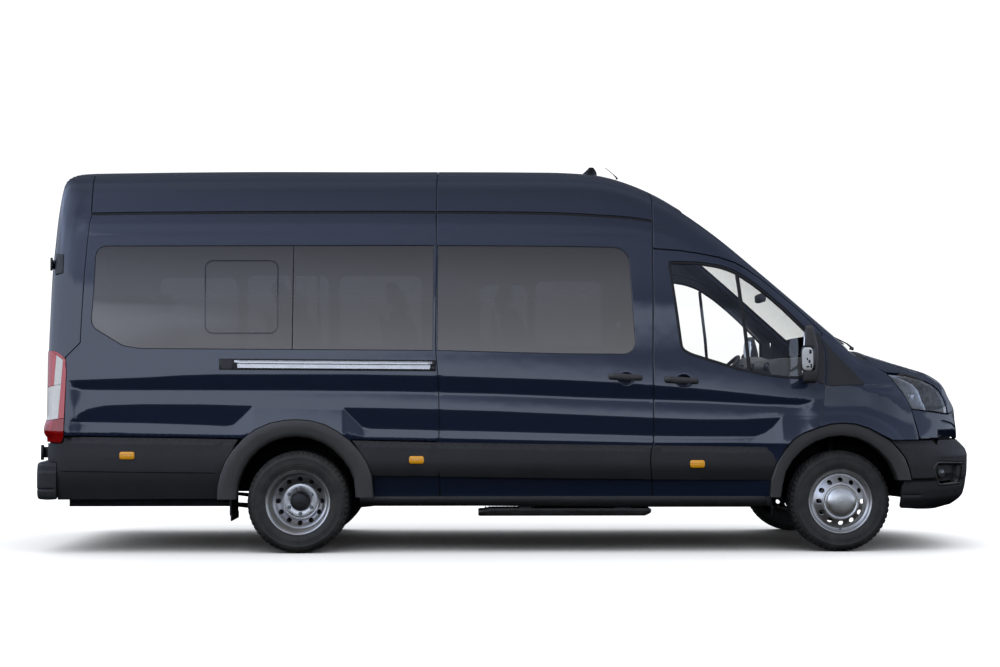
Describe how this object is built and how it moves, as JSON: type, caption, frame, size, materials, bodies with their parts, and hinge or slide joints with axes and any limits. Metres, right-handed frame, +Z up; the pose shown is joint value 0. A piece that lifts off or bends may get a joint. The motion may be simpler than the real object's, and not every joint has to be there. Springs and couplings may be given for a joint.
{
  "type": "minibus",
  "caption": "High-roof long-wheelbase minibus with twin rear wheels, sliding side door, double rear doors, privacy glass, opening bonnet and steered front wheels.",
  "frame": {"origin": "on the ground, under the middle of the bounding box", "axes": "+X forward (the direction of travel), +Y to the vehicle's left, +Z up"},
  "size_m": [6.59, 2.474, 2.8349],
  "materials": {
    "body_paint": "dark blue clear-coated paint",
    "textured_plastic": "grained moulded plastic",
    "privacy_glass": "dark privacy glass",
    "clear_glass": "clear safety glass",
    "tyre": "black rubber tyre",
    "wheel_steel": "silver-painted pressed steel",
    "black_plastic": "black moulded plastic",
    "lamp_glass": "clear lamp lens",
    "red_lamp": "red lamp lens",
    "seat_fabric": "woven seat cloth",
    "cast_iron": "bare cast iron",
    "exhaust_steel": "dull metal",
    "chassis_paint": "black chassis coating",
    "cabin_plastic": "grey cabin plastic"
  },
  "bodies": {
    "body": {"roof": "body_paint", "right_rear_side_panel": "body_paint", "left_side_panel": "body_paint", "sliding_door": "body_paint", "side_glass": "privacy_glass", "windscreen": "clear_glass", "a_pillars": "body_paint", "cowl": "black_plastic", "front_fenders": "body_paint", "headlamps": "lamp_glass", "grille": "body_paint", "tail_lamps": "red_lamp", "front_bumper": "textured_plastic", "rear_bumper": "textured_plastic", "side_cladding": "textured_plastic", "arch_flares": "textured_plastic", "floor": "chassis_paint", "wheelhouses": "black_plastic", "b_pillars": "body_paint", "chassis_frame": "chassis_paint", "front_subframe": "cast_iron", "engine": "cast_iron", "radiator": "exhaust_steel", "rear_axle": "cast_iron", "exhaust": "exhaust_steel", "fuel_tank": "black_plastic", "dashboard": "cabin_plastic", "cab_seats": "seat_fabric", "passenger_seats": "seat_fabric", "seat_frames": "black_plastic", "spare_wheel": "tyre", "side_step": "black_plastic", "roof_aerial": "black_plastic"},
    "front_right_door": {"front_right_door": "body_paint", "front_right_door_glass": "clear_glass", "right_mirror": "black_plastic"},
    "front_left_door": {"front_left_door": "body_paint", "front_left_door_glass": "clear_glass", "left_mirror": "black_plastic"},
    "rear_right_door": {"rear_right_door": "body_paint", "rear_right_door_glass": "privacy_glass"},
    "rear_left_door": {"rear_left_door": "body_paint", "rear_left_door_glass": "privacy_glass"},
    "bonnet": {"bonnet": "body_paint"},
    "front_right_knuckle": {"front_right_knuckle": "cast_iron"},
    "front_left_knuckle": {"front_left_knuckle": "cast_iron"},
    "front_right_wheel": {"front_right_rim": "wheel_steel", "front_right_tyre": "tyre"},
    "front_left_wheel": {"front_left_rim": "wheel_steel", "front_left_tyre": "tyre"},
    "rear_right_wheels": {"rear_right_rims": "wheel_steel", "rear_right_tyres": "tyre"},
    "rear_left_wheels": {"rear_left_rims": "wheel_steel", "rear_left_tyres": "tyre"},
    "steering_wheel": {"steering_wheel": "cabin_plastic"}
  },
  "joints": [
    {"name": "front_right_door_hinge", "type": "hinge", "parent": "body", "child": "front_right_door", "pos_m": [2.17, -1.04, 0.9], "axis": [0, 0, 1], "range_deg": [0, 70]},
    {"name": "front_left_door_hinge", "type": "hinge", "parent": "body", "child": "front_left_door", "pos_m": [2.17, 1.04, 0.9], "axis": [0, 0, -1], "range_deg": [0, 70]},
    {"name": "rear_right_door_hinge", "type": "hinge", "parent": "body", "child": "rear_right_door", "pos_m": [-3.268, -0.915, 1.5], "axis": [0, 0, 1], "range_deg": [0, 180]},
    {"name": "rear_left_door_hinge", "type": "hinge", "parent": "body", "child": "rear_left_door", "pos_m": [-3.268, 0.915, 1.5], "axis": [0, 0, -1], "range_deg": [0, 180]},
    {"name": "bonnet_hinge", "type": "hinge", "parent": "body", "child": "bonnet", "pos_m": [2.5, 0, 1.376], "axis": [0, -1, 0], "range_deg": [0, 50]},
    {"name": "front_right_steer", "type": "hinge", "parent": "body", "child": "front_right_knuckle", "pos_m": [2.26, -0.83, 0.35], "axis": [0, 0, 1], "range_deg": [-35, 35]},
    {"name": "front_left_steer", "type": "hinge", "parent": "body", "child": "front_left_knuckle", "pos_m": [2.26, 0.83, 0.35], "axis": [0, 0, 1], "range_deg": [-35, 35]},
    {"name": "steering_wheel_turn", "type": "hinge", "parent": "body", "child": "steering_wheel", "pos_m": [1.66, 0.47, 1.24], "axis": [-0.7431, 0, 0.6691], "range_deg": [-525, 525]},
    {"name": "front_right_wheel_spin", "type": "hinge", "parent": "front_right_knuckle", "child": "front_right_wheel", "pos_m": [2.26, -0.868, 0.35], "axis": [0, 1, 0], "continuous": true},
    {"name": "front_left_wheel_spin", "type": "hinge", "parent": "front_left_knuckle", "child": "front_left_wheel", "pos_m": [2.26, 0.868, 0.35], "axis": [0, 1, 0], "continuous": true},
    {"name": "rear_right_wheels_spin", "type": "hinge", "parent": "body", "child": "rear_right_wheels", "pos_m": [-1.49, -0.821, 0.35], "axis": [0, 1, 0], "continuous": true},
    {"name": "rear_left_wheels_spin", "type": "hinge", "parent": "body", "child": "rear_left_wheels", "pos_m": [-1.49, 0.821, 0.35], "axis": [0, 1, 0], "continuous": true}
  ],
  "couplings": [
    {"joint": "front_left_steer", "follows": "front_right_steer", "ratio": 1},
    {"joint": "steering_wheel_turn", "follows": "front_right_steer", "ratio": 15}
  ]
}
